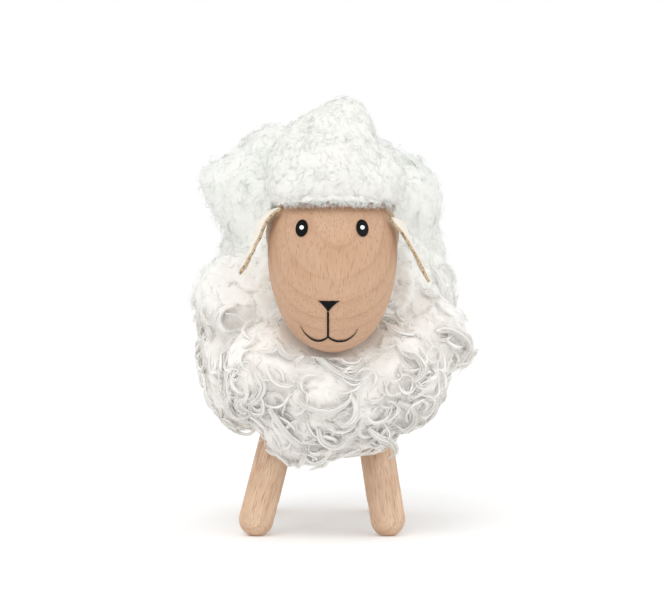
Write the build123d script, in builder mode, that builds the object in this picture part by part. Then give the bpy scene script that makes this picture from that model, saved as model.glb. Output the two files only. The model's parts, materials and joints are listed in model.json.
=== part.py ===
from build123d import *

# A sheep figurine: a turned beech body, head and legs in a coat and a cap of curly sheepskin.
# Millimetres, +Z up, the face towards -Y. The origin is on the floor, at the middle of the figure.

import os
from math import cos, radians, sin, tan

# Floor and shared fits
foot_flat_depth = 0.4
seat_gap = 0.3
running_gap = 0.05
overrun = 60.0

# Turned body core, a barrel with long round ends that lies along Y
core_length = 82.0
core_straight = 14.0
core_diameter = 47.0
core_centre_y = 9.0
core_height = 67.0

# Legs: dowels with domed feet
leg_diameter = 12.0
leg_top_drop = 11.0
leg_length = core_height - leg_top_drop
foot_left_x = -26.3
foot_right_x = 19.1
foot_front_ahead = 35.0
foot_rear_behind = 33.0
foot_front_y = core_centre_y - foot_front_ahead
foot_rear_y = core_centre_y + foot_rear_behind
leg_left_splay_angle = 14.1
leg_right_splay_angle = 8.7
leg_fore_splay_angle = 13.0

# Head: a beech egg on a slanted neck pin, set into the corner above the core's front end
head_diameter = 43.4
head_chin_length = 38.0
head_setback = 9.7
head_sink = 12.8
head_radius = head_diameter / 2
head_centre_y = core_centre_y - core_length / 2 - head_radius + head_setback
head_height = core_height + core_diameter / 2 + head_radius - head_sink
head_tilt = 27.0
chin_fullness_share = 2.12
neck_diameter = 10.0
neck_in_head = 15.0
neck_behind_head = 21.0
neck_tip_gap = 0.5
head_turn_range = 20.0

# Sheepskin
hide_thickness = 1.2
coat_side_depth = 26.5
coat_end_depth = 23.0
coat_high_depth = 38.5
coat_half_width = core_diameter / 2 + coat_side_depth
coat_half_length = core_length / 2 + coat_end_depth
coat_half_height = core_diameter / 2 + coat_high_depth
coat_ahead = 3.0
coat_rise = 19.0
coat_centre_y = core_centre_y - coat_ahead
coat_centre_height = core_height + coat_rise
coat_middle_depth = 18.5
coat_middle_end_depth = 9.0
coat_middle_radius = core_diameter / 2 + coat_middle_depth
coat_middle_half_length = core_length / 2 + coat_middle_end_depth
coat_middle_behind = 1.0
coat_middle_rise = 9.0
coat_middle_y = core_centre_y + coat_middle_behind
coat_middle_height = core_height + coat_middle_rise
cap_edge_rise = 12.6
cap_edge_ahead = 6.0
cap_edge_height = head_height + cap_edge_rise
cap_edge_turn_y = head_centre_y - cap_edge_ahead
cap_edge_slope = 45.0
cap_side_depth = 4.3
cap_front_depth = 2.3
cap_wool_half_width = head_radius + cap_side_depth
cap_wool_half_length = head_radius + cap_front_depth
cap_wool_height = 37.0
coat_clearance = 0.5
cap_swing_clearance = 3.4
cap_swing_radius = cap_edge_rise + cap_wool_height + cap_swing_clearance
cap_rear = 20.5
ear_reach_angle = 100.0

# Ears: leather leaves that hang from the cap's edge
ear_thickness = 1.2
ear_width = 13.3
ear_root_out_share = 0.7926
ear_root_ahead_share = 0.47
ear_root_rise_share = 0.5253
ear_root_x = ear_root_out_share * head_radius
ear_root_y = head_centre_y - ear_root_ahead_share * head_radius
ear_root_height = head_height + ear_root_rise_share * head_radius
ear_knee_out = 6.4
ear_knee_drop = 7.2
ear_tip_out = 11.2
ear_tip_drop = 20.6
ear_right_out = 1.4
ear_right_drop = 2.8
ear_lift_range = 45.0
ear_root_droop_angle = 37.0
ear_sweep_margin_angle = 8.0
ear_hanging_angle = 90.0

# Painted face, as thin raised films
paint_thickness = 0.3
glint_thickness = 0.15
eye_width = 4.0
eye_height = 5.7
eye_tilt = 8.0
eye_left_x = -10.0
eye_right_x = 9.7
eye_rise = 5.1
eye_centre_height = head_height + eye_rise
glint_diameter = 1.4
glint_rise = 0.2
nose_width = 7.0
nose_depth = 3.6
nose_centre_x = -1.1
nose_drop_share = 0.487
nose_top_height = head_height - nose_drop_share * head_chin_length
mouth_line_width = 0.65
mouth_length_share = 0.213
mouth_line_length = mouth_length_share * head_chin_length
mouth_arc_width = 0.6
mouth_left_reach = 9.0
mouth_right_reach = 9.6
mouth_left_rise = 3.6
mouth_right_rise = 2.6

# Lumps of the coat: centre as shares of its half sizes, radius as a share of its half width.
# The seams of their surfaces are turned to the rear.
lump_seam_angle = 90.0
coat_lump_shares = [
    (0.00, -0.69, -0.55, 0.40),
    (-0.40, -0.62, -0.47, 0.36),
    (0.40, -0.61, -0.48, 0.36),
    (-0.18, -0.61, -0.74, 0.315),
    (0.22, -0.59, -0.69, 0.27),
    (-0.65, -0.31, -0.065, 0.33),
    (0.58, -0.34, -0.275, 0.35),
    (-0.54, -0.28, -0.54, 0.358),
    (0.45, -0.28, -0.53, 0.355),
    (0.00, 0.03, -0.61, 0.44),
    (-0.44, 0.41, -0.52, 0.42),
    (0.44, 0.41, -0.52, 0.42),
    (0.00, 0.64, -0.39, 0.44),
    (0.00, 0.58, 0.10, 0.54),
    (-0.44, 0.34, 0.19, 0.42),
    (0.40, 0.34, 0.19, 0.455),
    (-0.58, 0.12, -0.10, 0.42),
    (0.50, 0.09, -0.03, 0.40),
    (-0.44, 0.03, 0.42, 0.36),
    (0.38, 0.06, 0.485, 0.425),
    (-0.04, 0.16, 0.61, 0.48),
    (-0.64, 0.02, 0.54, 0.275),
    (-0.68, -0.28, -0.35, 0.27),
    (0.84, -0.33, -0.335, 0.15),
    (-0.41, 0.06, 0.73, 0.28),
    (-0.60, 0.06, 0.67, 0.185),
    (-0.835, 0.03, 0.63, 0.145),
]

# Lumps of the cap: across, back from the head's centre, up from the cap's edge, and radius, as
# shares of the cap wool's half width, half length, height and half width
cap_lump_shares = [
    (-0.08, 0.08, 0.365, 0.75),
    (0.10, 0.06, 0.665, 0.44),
    (0.17, 0.08, 0.81, 0.27),
    (-0.38, 0.00, 0.27, 0.50),
    (0.50, 0.08, 0.24, 0.47),
    (0.00, -0.33, 0.19, 0.46),
    (-0.35, -0.21, 0.16, 0.42),
    (0.35, -0.21, 0.16, 0.42),
    (0.00, 0.58, 0.27, 0.62),
    (-0.30, 0.50, 0.20, 0.48),
    (0.34, 0.50, 0.20, 0.48),
]

# The head's own directions
crown_way = Vector(0, sin(radians(head_tilt)), cos(radians(head_tilt)))
face_way = Vector(0, -cos(radians(head_tilt)), sin(radians(head_tilt)))
head_centre = Vector(0, head_centre_y, head_height)
egg_plane = Plane(origin=head_centre, x_dir=-face_way, z_dir=Vector(1, 0, 0))
face_plane_share = 0.32
face_plane = Plane(
    origin=Vector(0, head_centre_y - face_plane_share * head_diameter, 0),
    x_dir=Vector(1, 0, 0), z_dir=Vector(0, -1, 0))

os.makedirs("parts", exist_ok=True)


def add_egg(growth=0.0, mode=Mode.ADD):
    """Add or cut the head's egg, grown all round: a round crown and a full chin, revolved."""
    radius = head_radius + growth
    chin = head_chin_length + growth
    chin_points = [
        (radius * cos(radians(turn)) ** (2 / chin_fullness_share),
         -chin * sin(radians(turn)) ** (2 / chin_fullness_share))
        for turn in (0, 20, 40, 60, 76)
    ]
    with BuildSketch(egg_plane) as outline:
        with BuildLine():
            CenterArc((0, 0), radius, 0, 90)
            Spline(chin_points + [(0, -chin)], tangents=[(0, -1), (-1, 0)])
            Line((0, -chin), (0, radius))
        make_face()
    revolve(outline.sketch, Axis(head_centre, crown_way), mode=mode)


def add_barrel(centre, long_way, half_length, straight, radius, mode=Mode.ADD):
    """Add or cut a barrel with elliptic ends and a straight middle, about a way square to X."""
    half_straight = straight / 2
    end_points = [
        (half_straight + (half_length - half_straight) * cos(radians(turn)),
         radius * sin(radians(turn)))
        for turn in range(0, 105, 15)
    ]
    with BuildSketch(Plane(origin=centre, x_dir=long_way, z_dir=Vector(-1, 0, 0))) as outline:
        with BuildLine():
            Spline(end_points, tangents=[(0, 1), (-1, 0)])
            Line((half_straight, radius), (-half_straight, radius))
            Spline([(-along, out) for along, out in end_points], tangents=[(0, 1), (1, 0)])
            Line((-half_length, 0), (half_length, 0))
        make_face()
    revolve(outline.sketch, Axis(centre, long_way), mode=mode)


def add_core(growth=0.0, mode=Mode.ADD):
    """Add or cut the body core, grown all round."""
    centre = Vector(0, core_centre_y, core_height)
    add_barrel(centre, Vector(0, 1, 0), core_length / 2 + growth, core_straight,
               core_diameter / 2 + growth, mode)


def add_pin(foot, way, diameter, length, mode=Mode.ADD):
    """Add or cut a round pin from a point along a direction."""
    with BuildSketch(Plane(origin=foot, z_dir=way)) as outline:
        Circle(diameter / 2)
    extrude(outline.sketch, amount=length, mode=mode)


def add_disc_slice(centre, axis_way, zero_way, start, sweep, radius, rear, front, mode=Mode.ADD):
    """Add or cut a slice of a disc about an axis; angles count from the zero direction."""
    side_way = axis_way.cross(zero_way)
    begin = zero_way * cos(radians(start)) + side_way * sin(radians(start))
    with BuildSketch(Plane(origin=centre, x_dir=begin, z_dir=begin.cross(axis_way))) as outline:
        with BuildLine():
            Polyline((0, -rear), (radius, -rear), (radius, front), (0, front), close=True)
        make_face()
    revolve(outline.sketch, Axis(centre, axis_way), revolution_arc=sweep, mode=mode)


# Places and directions of the legs
leg_radius = leg_diameter / 2
foot_height = leg_radius - foot_flat_depth


def leg_way(side_splay, fore_splay):
    """Direction from the foot up the leg, from its lean to the side and along the body."""
    return Vector(tan(radians(side_splay)), tan(radians(fore_splay)), 1).normalized()


legs = {
    "leg_front_left": (
        Vector(foot_left_x, foot_front_y, foot_height),
        leg_way(leg_left_splay_angle, leg_fore_splay_angle)),
    "leg_front_right": (
        Vector(foot_right_x, foot_front_y, foot_height),
        leg_way(-leg_right_splay_angle, leg_fore_splay_angle)),
    "leg_rear_left": (
        Vector(foot_left_x, foot_rear_y, foot_height),
        leg_way(leg_left_splay_angle, -leg_fore_splay_angle)),
    "leg_rear_right": (
        Vector(foot_right_x, foot_rear_y, foot_height),
        leg_way(-leg_right_splay_angle, -leg_fore_splay_angle)),
}

# Neck pin, from inside the core to inside the head
neck_rear = head_centre - face_way * (head_radius + neck_behind_head)
neck_length = neck_behind_head + neck_in_head
head_bore_length = neck_length + neck_tip_gap


def add_legs(growth, mode):
    """Add or cut all four legs, grown all round."""
    for foot, way in legs.values():
        add_pin(foot, way, leg_diameter + 2 * growth, leg_length, mode)


# Body core, with blind sockets for the legs and the neck pin
with BuildPart() as body_core:
    add_core()
    add_legs(0.0, Mode.SUBTRACT)
    add_pin(neck_rear, face_way, neck_diameter, neck_length, Mode.SUBTRACT)
body_core.part.label = "body_core"
export_step(body_core.part, "parts/body_core.step")

# Legs, each cut flat where it stands
for name, (foot, way) in legs.items():
    with BuildPart() as leg:
        add_pin(foot, way, leg_diameter, leg_length)
        with Locations(foot):
            Sphere(leg_radius)
        with Locations((foot.X, foot.Y, 0)):
            Box(leg_diameter, leg_diameter, leg_diameter, align=(Align.CENTER, Align.CENTER, Align.MAX),
                mode=Mode.SUBTRACT)
    leg.part.label = name
    export_step(leg.part, f"parts/{name}.step")

# Neck pin
with BuildPart() as neck_dowel:
    add_pin(neck_rear, face_way, neck_diameter, neck_length)
neck_dowel.part.label = "neck_dowel"
export_step(neck_dowel.part, "parts/neck_dowel.step")

# Head, with a blind bore that runs on the neck pin
with BuildPart() as head:
    add_egg()
    add_pin(neck_rear, face_way, neck_diameter + 2 * running_gap, head_bore_length, Mode.SUBTRACT)
head.part.label = "head"
export_step(head.part, "parts/head.step")

# Backing of the coat, a shell on the core
with BuildPart() as body_hide:
    add_core(hide_thickness)
    add_core(0.0, Mode.SUBTRACT)
    add_legs(seat_gap, Mode.SUBTRACT)
    add_pin(neck_rear, face_way, neck_diameter + 2 * seat_gap, neck_length, Mode.SUBTRACT)
body_hide.part.label = "body_hide"
export_step(body_hide.part, "parts/body_hide.step")

# Backing of the cap: the shell on the egg above and behind a bent edge line
with BuildPart() as cap_hide:
    add_egg(hide_thickness)
    add_egg(0.0, Mode.SUBTRACT)
    with BuildSketch(Plane.YZ) as below_edge:
        slope_drop = overrun * tan(radians(cap_edge_slope))
        with BuildLine():
            Polyline(
                (cap_edge_turn_y - overrun, cap_edge_height),
                (cap_edge_turn_y, cap_edge_height),
                (cap_edge_turn_y + overrun, cap_edge_height - slope_drop),
                (cap_edge_turn_y - overrun, cap_edge_height - slope_drop),
                close=True,
            )
        make_face()
    extrude(below_edge.sketch, amount=overrun, both=True, mode=Mode.SUBTRACT)
    add_pin(neck_rear, face_way, neck_diameter + 2 * seat_gap, neck_length, Mode.SUBTRACT)
cap_hide.part.label = "cap_hide"
export_step(cap_hide.part, "parts/cap_hide.step")

# Directions and places of the ears
ear_back_out_share = 0.48
ear_back_share = 0.85
ear_back_drop_share = 0.22


def ear_places(side):
    """Root point and root line of an ear: side is -1 on the left and 1 on the right."""
    out = ear_root_x + (ear_right_out if side > 0 else 0)
    height = ear_root_height - (ear_right_drop if side > 0 else 0)
    root = Vector(side * out, ear_root_y, height)
    back_way = Vector(side * ear_back_out_share, ear_back_share, -ear_back_drop_share).normalized()
    return root, back_way


def ear_axis(side):
    """Root point and lift axis of an ear; a positive turn about the axis lifts it."""
    root, back_way = ear_places(side)
    return root, back_way * -side


# Wool of the cap: lumps on the cap's backing, clear of the ears as they lift
with BuildPart() as cap_wool:
    for across, back, up, size in cap_lump_shares:
        place = (
            across * cap_wool_half_width,
            head_centre_y + back * cap_wool_half_length,
            cap_edge_height + up * cap_wool_height,
        )
        with Locations(place):
            Sphere(size * cap_wool_half_width)
    add_egg(hide_thickness, Mode.SUBTRACT)
    with Locations((0, head_centre_y, cap_edge_height)):
        Box(2 * overrun, 2 * overrun, overrun, align=(Align.CENTER, Align.CENTER, Align.MAX),
            mode=Mode.SUBTRACT)
    for side in (-1, 1):
        root, axis_way = ear_axis(side)
        out_way = Vector(side, 0, 0)
        level_way = (out_way - axis_way * axis_way.dot(out_way)).normalized()
        back = ear_width + ear_thickness
        lifted = ear_lift_range - ear_root_droop_angle + ear_sweep_margin_angle
        add_disc_slice(
            root, axis_way, level_way, -ear_hanging_angle, ear_hanging_angle + lifted, overrun,
            ear_thickness if side < 0 else back, back if side < 0 else ear_thickness,
            Mode.SUBTRACT,
        )
cap_wool.part.label = "cap_wool"
export_step(cap_wool.part, "parts/cap_wool.step")

# Outline of the leaf seen from the side: back from the root and up from it, as shares of the
# ear's width and of its hanging length
leaf_top_front_share = (-0.10, 0.20)
leaf_front_share = (-0.10, -0.45)
leaf_front_curve_share = (0.10, -0.82)
leaf_tip_share = (0.38, -1.04)
leaf_back_curve_share = (0.72, -0.72)
leaf_back_share = (0.84, -0.30)
leaf_top_back_share = (1.00, 0.20)


def leaf_point(share):
    """Place of a leaf outline point."""
    return (share[0] * ear_width, share[1] * ear_tip_drop)


# Ears: a bent strip run back along the root line, cut to a leaf
for name, side in (("ear_left", -1), ("ear_right", 1)):
    root, back_way = ear_places(side)
    strip_plane = Plane(origin=root, x_dir=Vector(side, 0, 0), z_dir=Vector(0, -side, 0))
    leaf_plane = Plane(origin=root, x_dir=Vector(0, 1, 0), z_dir=Vector(1, 0, 0))
    with BuildPart() as ear:
        with BuildSketch(strip_plane) as strip:
            with BuildLine() as bend:
                blade = Line((ear_tip_out, -ear_tip_drop), (ear_knee_out, -ear_knee_drop))
                TangentArc(blade @ 1, (0, 0), tangent=blade % 1)
            trace(bend.line, line_width=ear_thickness)
        extrude(strip.sketch, amount=ear_width, dir=back_way)
        with BuildSketch(leaf_plane) as leaf:
            with BuildLine():
                Line(leaf_point(leaf_top_front_share), leaf_point(leaf_front_share))
                ThreePointArc(leaf_point(leaf_front_share), leaf_point(leaf_front_curve_share),
                              leaf_point(leaf_tip_share))
                ThreePointArc(leaf_point(leaf_tip_share), leaf_point(leaf_back_curve_share),
                              leaf_point(leaf_back_share))
                Polyline(leaf_point(leaf_back_share), leaf_point(leaf_top_back_share),
                         leaf_point(leaf_top_front_share))
            make_face()
        extrude(leaf.sketch, amount=overrun, both=True, mode=Mode.INTERSECT)
    ear.part.label = name
    export_step(ear.part, f"parts/{name}.step")


def add_film(outline, inner, thickness):
    """Add a film of the outline's shape, seen from the front, on the egg grown by inner."""
    add_egg(inner + thickness)
    extrude(outline, amount=overrun, mode=Mode.INTERSECT)
    add_egg(inner, Mode.SUBTRACT)


# Eyes, each a tilted oval film with a small round glint on it
for name, eye_x, tilt in (("left", eye_left_x, -eye_tilt), ("right", eye_right_x, eye_tilt)):
    with BuildPart() as eye:
        with BuildSketch(face_plane) as oval:
            with Locations((eye_x, eye_centre_height)):
                Ellipse(eye_width / 2, eye_height / 2, rotation=tilt)
        add_film(oval.sketch, 0.0, paint_thickness)
    eye.part.label = f"eye_{name}"
    export_step(eye.part, f"parts/eye_{name}.step")
    with BuildPart() as glint:
        with BuildSketch(face_plane) as dot:
            with Locations((eye_x, eye_centre_height + glint_rise)):
                Circle(glint_diameter / 2)
        add_film(dot.sketch, paint_thickness, glint_thickness)
    glint.part.label = f"eye_glint_{name}"
    export_step(glint.part, f"parts/eye_glint_{name}.step")

# Nose: a triangle, flat on top, whose sides draw in a little
nose_tip_share = -0.05
nose_side_shares = (0.42, 0.52)
nose_tip = (nose_centre_x + nose_tip_share * nose_width, nose_top_height - nose_depth)
with BuildPart() as nose:
    with BuildSketch(face_plane) as triangle:
        left = (nose_centre_x - nose_width / 2, nose_top_height)
        right = (nose_centre_x + nose_width / 2, nose_top_height)
        with BuildLine():
            Line(left, right)
            for corner in (right, left):
                middle = (
                    nose_tip[0] + nose_side_shares[0] * (corner[0] - nose_tip[0]),
                    nose_tip[1] + nose_side_shares[1] * nose_depth,
                )
                ThreePointArc(corner, middle, nose_tip)
        make_face()
    add_film(triangle.sketch, 0.0, paint_thickness)
nose.part.label = "nose"
export_step(nose.part, "parts/nose.step")

# Mouth: a line down from the nose that forks into two arcs with thinning tips; their points
# are shares of the reach and of the rise of each
mouth_left_shares = [
    (0.00, 0.00), (0.16, -0.25), (0.34, -0.36), (0.58, -0.22), (0.77, 0.14), (0.94, 0.67)]
mouth_right_shares = [
    (0.00, 0.00), (0.13, -0.31), (0.26, -0.50), (0.44, -0.54), (0.62, -0.42), (0.79, -0.04),
    (0.93, 0.44)]
mouth_thinning_share = 4
mouth_fork_height = nose_tip[1] - mouth_line_length


def add_mouth_arc(side, reach, rise, shares):
    """Add one arc of the mouth, between a lower and an upper curve that meet at its tip."""
    tip = (nose_tip[0] + side * reach, mouth_fork_height + rise)
    edges = []
    for edge_side in (-1, 1):
        points = [
            (nose_tip[0] + side * across * reach,
             mouth_fork_height + up * rise
             + edge_side * mouth_arc_width / 2 * (1 - across ** mouth_thinning_share))
            for across, up in shares
        ]
        edges.append(points + [tip])
    with BuildLine() as outline:
        for points in edges:
            Spline(points)
        Line(edges[0][0], edges[1][0])
    make_face(outline.edges())


with BuildPart() as mouth:
    with BuildSketch(face_plane) as lines:
        with Locations(nose_tip):
            Rectangle(mouth_line_width, mouth_line_length, align=(Align.CENTER, Align.MAX))
        add_mouth_arc(-1, mouth_left_reach, mouth_left_rise, mouth_left_shares)
        add_mouth_arc(1, mouth_right_reach, mouth_right_rise, mouth_right_shares)
    add_film(lines.sketch, 0.0, paint_thickness)
mouth.part.label = "mouth"
export_step(mouth.part, "parts/mouth.step")

# Wool of the coat: lumps round the backing, hollow for the core and clear of the turning head
with BuildPart() as body_wool:
    middle = Vector(0, coat_middle_y, coat_middle_height)
    add_barrel(middle, Vector(0, 1, 0), coat_middle_half_length, core_straight, coat_middle_radius)
    for across, back, up, size in coat_lump_shares:
        place = (
            across * coat_half_width,
            coat_centre_y + back * coat_half_length,
            coat_centre_height + up * coat_half_height,
        )
        with Locations(place):
            Sphere(size * coat_half_width, rotation=(0, 0, lump_seam_angle))
    add_core(hide_thickness, Mode.SUBTRACT)
    add_legs(seat_gap, Mode.SUBTRACT)
    add_pin(neck_rear, face_way, neck_diameter + 2 * seat_gap, neck_length, Mode.SUBTRACT)
    swing = ear_reach_angle + head_turn_range
    add_disc_slice(head_centre, face_way, crown_way, -swing, 2 * swing, cap_swing_radius,
                   cap_rear, overrun, Mode.SUBTRACT)
    add_barrel(
        head_centre, face_way, head_radius + hide_thickness + coat_clearance, hide_thickness,
        head_chin_length + coat_clearance, Mode.SUBTRACT)
body_wool.part.label = "body_wool"
export_step(body_wool.part, "parts/body_wool.step")
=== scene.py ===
"""Dresses the sheep figurine: turned beech, a coat and a cap of curly sheepskin, leather ears."""

import json
from collections import namedtuple
from math import pi, radians

import bpy
import numpy as np
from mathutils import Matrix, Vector


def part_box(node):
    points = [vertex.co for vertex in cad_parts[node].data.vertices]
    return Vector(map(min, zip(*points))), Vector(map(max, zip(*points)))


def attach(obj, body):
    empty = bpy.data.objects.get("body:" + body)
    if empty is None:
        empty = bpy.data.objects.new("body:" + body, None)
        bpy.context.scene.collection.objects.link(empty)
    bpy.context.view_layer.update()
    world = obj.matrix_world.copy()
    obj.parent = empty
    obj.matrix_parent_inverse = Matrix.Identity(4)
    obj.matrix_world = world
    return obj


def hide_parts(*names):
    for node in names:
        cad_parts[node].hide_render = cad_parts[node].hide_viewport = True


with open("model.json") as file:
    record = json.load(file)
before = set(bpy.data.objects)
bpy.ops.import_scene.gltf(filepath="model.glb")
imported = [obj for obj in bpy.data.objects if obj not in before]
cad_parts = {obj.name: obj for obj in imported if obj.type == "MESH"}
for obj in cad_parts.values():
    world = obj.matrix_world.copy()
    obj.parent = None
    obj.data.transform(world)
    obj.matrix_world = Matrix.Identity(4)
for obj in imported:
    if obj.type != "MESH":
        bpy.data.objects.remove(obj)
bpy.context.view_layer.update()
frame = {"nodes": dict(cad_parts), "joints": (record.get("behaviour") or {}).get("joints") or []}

bl_info = {
    "name": "Sheep Figurine",
    "version": (1, 0, 0),
    "blender": (4, 5, 0),
    "location": "3D View > Sidebar > Sheep",
    "description": "Dresses a beech sheep in curly sheepskin, with leather ears and a painted face",
    "category": "Add Mesh",
}

# Shapes are worked out in millimetres and put into the meshes in metres
MM = 0.001
SEED = 20

# Least divisor, a distance beyond every form, and the largest exponent taken
TINY = 1e-9
FAR = 1e3
STEEPEST = 80

# The head: its centre, its own directions and its turn come from the neck joint
JOINTS = {joint["name"]: joint for joint in frame["joints"]}
HEAD = np.array(JOINTS["head_turn"]["pos_m"]) / MM
FACE_WAY = np.array(JOINTS["head_turn"]["axis"])
CROWN_WAY = np.array([0.0, FACE_WAY[2], -FACE_WAY[1]])
TURN_RANGE = radians(JOINTS["head_turn"]["range_deg"][1])
HEAD_RADIUS = (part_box("head")[1].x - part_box("head")[0].x) / 2 / MM
CHIN_LENGTH = 38.0
CHIN_FULLNESS = 2.12

# The room of the head's turn: steps that it is taken in, how far the cap and the ears reach from
# the neck's axis and behind the head's centre, and how far round from the crown the ears come
TURN_STEPS = 7
CAP_SWING = 53.0
CAP_REAR = 20.5
EAR_REACH = radians(120)

# Thickness of the hides, how far wool keeps from the room of the head's hide, the length of an
# ear's root and the width of a leg
HIDE = 1.2
HIDE_ROOM = HIDE + 0.4
EAR_ROOT = 14.5
LEG_WIDTH = 12.0

# The coat's middle and half sizes, and its lumps: places as shares of the half sizes, and radii
# as shares of the half width
COAT_MIDDLE = np.array([0.0, 6.0, 86.0])
COAT_HALF = np.array([50.0, 64.0, 62.0])
COAT_SOFTNESS = 2.0
COAT_LUMPS = np.array([
    (0.00, -0.69, -0.55, 0.40), (-0.40, -0.62, -0.47, 0.36), (0.40, -0.61, -0.48, 0.36),
    (-0.18, -0.61, -0.74, 0.315), (0.22, -0.59, -0.69, 0.27), (-0.65, -0.31, -0.065, 0.33),
    (0.58, -0.34, -0.275, 0.35), (-0.54, -0.28, -0.54, 0.358), (0.45, -0.28, -0.53, 0.355),
    (0.00, 0.03, -0.61, 0.44), (-0.44, 0.41, -0.52, 0.42), (0.44, 0.41, -0.52, 0.42),
    (0.00, 0.64, -0.39, 0.44), (0.00, 0.58, 0.10, 0.54), (-0.44, 0.34, 0.19, 0.42),
    (0.40, 0.34, 0.19, 0.455), (-0.58, 0.12, -0.10, 0.42), (0.50, 0.09, -0.03, 0.40),
    (-0.44, 0.03, 0.42, 0.36), (0.38, 0.06, 0.485, 0.425), (-0.04, 0.16, 0.61, 0.48),
    (-0.64, 0.02, 0.54, 0.275), (-0.68, -0.28, -0.35, 0.27), (0.84, -0.33, -0.335, 0.15),
    (-0.41, 0.06, 0.73, 0.28), (-0.60, 0.06, 0.67, 0.185), (-0.835, 0.03, 0.63, 0.145),
])

# The barrel under the lumps: its middle, radius and half its straight length. Then the place that
# the coat is felt from, and the furthest that it can end from there
BARREL_MIDDLE = np.array([0.0, 10.0, 76.0])
BARREL_RADIUS = 42.0
BARREL_STRAIGHT = 7.0
COAT_CENTRE = np.array([0.0, 12.0, 74.0])
COAT_REACH = 90.0

# Height where the coat's curls begin to give way to brushed wool, over how far they do, the share
# of them that is gone above, the height where its fibres are split into two pieces, and the fine
# fibres' thickness
HAZE_FROM = 66
HAZE_DEPTH = 34
HAZE_SHARE = 0.93
FIBRES_SPLIT = 84
FIBRE_THICKNESS = 0.12, 0.24

# Parts of the coat by the angle round, from the rear
COAT_REGIONS = ("rear_left", "left", "front_left", "front_right", "right", "rear_right")

# The cap's cut edge, the band of flecks above it, and the wool's least thickness over the hide
CAP_EDGE = 112.0
RIM_BAND = 2.6
CAP_RIM = 2.0
RIM_SOFTNESS = 1.0

# The small tuft of the cap that hangs over the forehead, above an eye
TUFT_FIBRES = 24
TUFT_PLACE = np.array([8.0, -62.4, 113.2])

# The cap's lumps: across, back from the head's centre, up from the cap's edge, and radius
CAP_HALF = np.array([26.0, 24.0, 37.0])
CAP_SOFTNESS = 1.6
CAP_REACH = 60.0
CAP_LUMPS = np.array([
    (-0.08, 0.08, 0.365, 0.75), (0.10, 0.06, 0.665, 0.44), (0.17, 0.08, 0.81, 0.27),
    (-0.38, 0.00, 0.27, 0.50), (0.50, 0.08, 0.24, 0.47), (0.00, -0.33, 0.19, 0.46),
    (-0.35, -0.21, 0.16, 0.42), (0.35, -0.21, 0.16, 0.42), (0.00, 0.58, 0.27, 0.62),
    (-0.30, 0.50, 0.20, 0.48), (0.34, 0.50, 0.20, 0.48),
])

# The photograph's camera: its distance in front of the middle, its height, its focal length, the
# picture's size in pixels and the sensor's width, and the floor that it sees
VIEW_DISTANCE = 630.0
VIEW_HEIGHT = 80.7
FOCAL_PIXELS = 1750.0
FRAME_WIDTH = 665.0
FRAME_HEIGHT = 603.0
SENSOR_WIDTH = 36.0
FLOOR_RADIUS = 6000

# A form that wool covers: a centre in it, what lies inside it, the distance to it with the way out,
# and how far from the centre it ends at the latest
Form = namedtuple("Form", "centre inside distance furthest")

# Curls that stand out on the coat: half the width of each, and points along it from its root, in
# the photograph's pixels
LEADING_CURLS = [
    (2.3, [(270, 408), (277, 420), (291, 438), (306, 450), (299, 467), (287, 460)]),
    (1.9, [(249, 362), (258, 376), (263, 388), (257, 400), (246, 406)]),
    (1.5, [(286, 330), (280, 340), (282, 351), (291, 357), (300, 353)]),
    (2.0, [(312, 352), (324, 362), (338, 373), (358, 380), (378, 369)]),
    (1.9, [(298, 398), (306, 406), (328, 411), (347, 402), (352, 390)]),
    (1.8, [(350, 395), (356, 406), (354, 419), (344, 426), (334, 420)]),
    (2.0, [(368, 428), (378, 437), (391, 442), (396, 452), (389, 460)]),
    (2.0, [(402, 352), (416, 356), (424, 368), (417, 381), (404, 380)]),
    (2.1, [(436, 330), (450, 330), (465, 338), (470, 350), (460, 358)]),
    (2.0, [(236, 300), (224, 306), (218, 320), (226, 332), (238, 330)]),
    (2.0, [(232, 392), (228, 404), (236, 416), (249, 414), (250, 403)]),
    (1.9, [(398, 402), (410, 408), (414, 420), (405, 430), (394, 424)]),
    (1.8, [(318, 428), (322, 441), (334, 447), (345, 440), (342, 430)]),
]
# Kinds of strand in them: how many, their spread, thickness, frizz and sides
LEADING_KINDS = (("curls", 6, 0.55, 0.8, 0.08, 6), ("curl_strands", 34, 1.0, 0.24, 0.16, 3))

# Front edge of each ear in the photograph, from its root to its tip, in pixels, and its depth
EAR_DEPTH = -54.9
EAR_EDGES = {
    -1: [(281.5, 208.5), (270, 217.5), (263, 231), (257, 244), (250.5, 256), (244, 266.5),
         (239.5, 274)],
    1: [(389.5, 217.5), (395, 226), (400.5, 232), (406, 240), (413, 251), (421, 265.5), (429, 282)],
}


def tone(red, green, blue):
    """Scene-linear colour of a display colour given in 0 to 255."""
    shares = np.array([red, green, blue]) / 255
    linear = np.where(shares <= 0.04045, shares / 12.92, ((shares + 0.055) / 1.055) ** 2.4)
    return tuple(float(value) for value in linear)


def unit(vectors):
    """Vectors divided by their lengths."""
    return vectors / np.maximum(np.linalg.norm(vectors, axis=-1, keepdims=True), TINY)


def soft_union(points, centres, radii, softness):
    """Distance to a rounded union of spheres and the way out of it. The distance is minus the
    softness times the log of the sum of exp(-distance to each sphere / softness)."""
    total = np.zeros(points.shape[:-1])
    way = np.zeros(points.shape)
    for centre, radius in zip(centres, radii):
        away = points - centre
        reach = np.linalg.norm(away, axis=-1)
        weight = np.exp(-np.clip((reach - radius) / softness, -STEEPEST, STEEPEST))
        total += weight
        way += (weight / np.maximum(reach, TINY))[..., None] * away
    return -softness * np.log(total), unit(way)


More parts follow.
